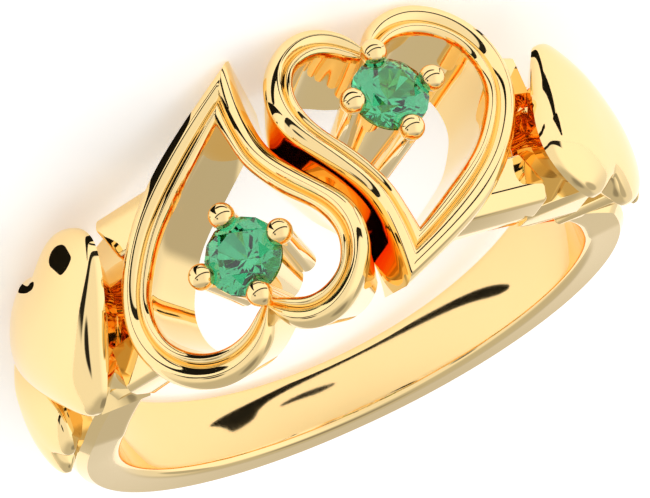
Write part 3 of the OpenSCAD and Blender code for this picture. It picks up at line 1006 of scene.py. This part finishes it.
light = bpy.data.lights.new("top_panel", "AREA")
light.shape = "DISK"
light.size = LAMP_ACROSS
light.energy = LAMP_POWER
lamp = bpy.data.objects.new("top_panel", light)
lamp.location = LAMP_PLACE
lamp.rotation_euler = (RING_MIDDLE - LAMP_PLACE).to_track_quat("-Z", "Y").to_euler()
lamp.visible_glossy = False
bpy.context.scene.collection.objects.link(lamp)

# Black strips of card lie just over the floor. They show only as the dark lines in the polish:
# two ends in millimetres and a width for each.
STRIPS = [
    ((4.0, -9.0), (22.0, -34.0), 3.0),
    ((-9.0, -15.5), (4.0, -13.5), 2.2),
    ((-8.9, -6.3), (-10.4, -8.6), 0.7),
    ((-10.4, -8.6), (-20.0, -11.8), 1.2),
    ((-20.0, -11.8), (-62.0, -17.0), 2.4),
    ((9.9, -7.4), (11.2, -8.2), 1.5),
    ((9.8, -4.3), (10.2, -4.9), 0.5),
    ((-0.4, 6.0), (-2.4, 4.7), 0.9),
    ((-1.7, 3.3), (-1.4, 2.2), 0.7),
]
CARD_DROP = 0.00001
CARD_END_STEPS = 16


def black_card():
    material = bpy.data.materials.new("black_card")
    material.use_nodes = True
    shader = material.node_tree.nodes["Principled BSDF"]
    shader.inputs["Base Color"].default_value = (0.012, 0.012, 0.012, 1)
    shader.inputs["Roughness"].default_value = 0.9
    shader.inputs["Specular IOR Level"].default_value = 0.0
    return material


BLACK_CARD = black_card()
for k, (start, end, across) in enumerate(STRIPS):
    start, end = Vector(start), Vector(end)
    along = (end - start).normalized() * across / 2
    aside = Vector((-along.y, along.x))
    rim = [centre + side * (math.sin(a) * along + math.cos(a) * aside)
           for centre, side in ((end, 1), (start, -1))
           for a in np.linspace(0, math.pi, CARD_END_STEPS + 1)]
    mesh = bpy.data.meshes.new("strip_%d" % (k + 1))
    corners = [(c.x / 1000, c.y / 1000, -CARD_DROP) for c in rim]
    mesh.from_pydata(corners, [], [tuple(range(len(rim)))])
    mesh.materials.append(BLACK_CARD)
    strip = bpy.data.objects.new("strip_%d" % (k + 1), mesh)
    strip.visible_camera = strip.visible_diffuse = strip.visible_shadow = False
    strip.visible_transmission = False
    bpy.context.scene.collection.objects.link(strip)


# Soft round patches of wall: degrees round from +X and up from the floor to the middle, reach
# of the full patch and of its edge, and brightness. Low down behind the camera is a dark gap:
# heights where it ends and is full, its middle, reach and edge, and brightness.
ROOM_BRIGHTNESS = 0.95
WALL_PATCHES = [
    ((-175, 30), 25, 60, 1.2),
    ((70, 45), 35, 60, 0.56),
    ((128, 12), 8, 25, 0.85),
    ((139, 30), 9, 15, 0.5),
    ((105, 62), 6, 18, 0.3),
    ((-33, 22), 5, 9, 0.02),
]
GAP_HEIGHTS = (11, 9)
GAP_PATCH = ((-95, 0), 66, 74)
GAP_BRIGHTNESS = 0.02


def pale_room():
    """A pale room with brighter and duller walls, and a dark gap low down behind the camera."""
    world = bpy.data.worlds.new("pale_room")
    world.use_nodes = True
    tree = world.node_tree
    new, link = tree.nodes.new, tree.links.new
    where = new("ShaderNodeTexCoord").outputs["Generated"]

    def soft_edge(value, gone, full):
        """0 where the value is gone, 1 where it is full and soft between."""
        edge = new("ShaderNodeMapRange")
        edge.interpolation_type = "SMOOTHSTEP"
        edge.inputs["From Min"].default_value = gone
        edge.inputs["From Max"].default_value = full
        link(value, edge.inputs["Value"])
        return edge.outputs["Result"]

    def patch(middle, full, gone):
        """A soft round patch about one direction."""
        around, up = map(math.radians, middle)
        dot = new("ShaderNodeVectorMath")
        dot.operation = "DOT_PRODUCT"
        dot.inputs[1].default_value = (
            math.cos(up) * math.cos(around), math.cos(up) * math.sin(around), math.sin(up))
        link(where, dot.inputs[0])
        gone, full = math.cos(math.radians(gone)), math.cos(math.radians(full))
        return soft_edge(dot.outputs["Value"], gone, full)

    def blend(value, mask, brightness):
        mix = new("ShaderNodeMix")
        mix.inputs["B"].default_value = brightness
        link(mask, mix.inputs["Factor"])
        if isinstance(value, float):
            mix.inputs["A"].default_value = value
        else:
            link(value, mix.inputs["A"])
        return mix.outputs["Result"]

    value = ROOM_BRIGHTNESS
    for middle, full, gone, brightness in WALL_PATCHES:
        value = blend(value, patch(middle, full, gone), brightness)
    # The dark gap is a low band, so it is masked by height as well as by direction.
    parts = new("ShaderNodeSeparateXYZ")
    link(where, parts.inputs[0])
    gone, full = (math.sin(math.radians(up)) for up in GAP_HEIGHTS)
    gap = new("ShaderNodeMath")
    gap.operation = "MULTIPLY"
    link(soft_edge(parts.outputs["Z"], gone, full), gap.inputs[0])
    link(patch(*GAP_PATCH), gap.inputs[1])
    value = blend(value, gap.outputs[0], GAP_BRIGHTNESS)
    # The room itself shows as plain and pale.
    value = blend(value, new("ShaderNodeLightPath").outputs["Is Camera Ray"], 1.0)
    background = tree.nodes["Background"]
    background.inputs["Color"].default_value = (1, 1, 1, 1)
    link(value, background.inputs["Strength"])
    return world


bpy.context.scene.world = pale_room()
bpy.context.scene.view_settings.view_transform = "Standard"
# Gold between gold walls needs many bounces to turn its own deep orange.
bpy.context.scene.cycles.max_bounces = 20
bpy.context.scene.cycles.glossy_bounces = 12
bpy.context.scene.cycles.transmission_bounces = 16

# The camera's place and axes in the ring's own millimetres.
CAMERA_AT = (-20.2398, -58.0908, 158.5362)
CAMERA_RIGHT = (0.90744199, -0.41839895, -0.0386181)
CAMERA_DOWN = (-0.40199565, -0.83775699, -0.36954394)
CAMERA_AHEAD = (0.12226421, 0.350864, -0.92841042)
FOCAL_PIXELS = 5002.2
PHOTO_WIDTH = 650
SENSOR_WIDTH = 36

camera_data = bpy.data.cameras.new("camera")
camera_data.sensor_width = SENSOR_WIDTH
camera_data.lens = SENSOR_WIDTH * FOCAL_PIXELS / PHOTO_WIDTH
camera_data.clip_start = 0.005
camera_data.clip_end = 20
camera = bpy.data.objects.new("camera", camera_data)
axes = AT_REST.to_3x3().normalized()
turned = Matrix((CAMERA_RIGHT, [-c for c in CAMERA_DOWN], [-c for c in CAMERA_AHEAD])).transposed()
camera.matrix_world = Matrix.Translation(AT_REST @ Vector(CAMERA_AT)) @ (axes @ turned).to_4x4()
bpy.context.scene.collection.objects.link(camera)
bpy.context.scene.camera = camera
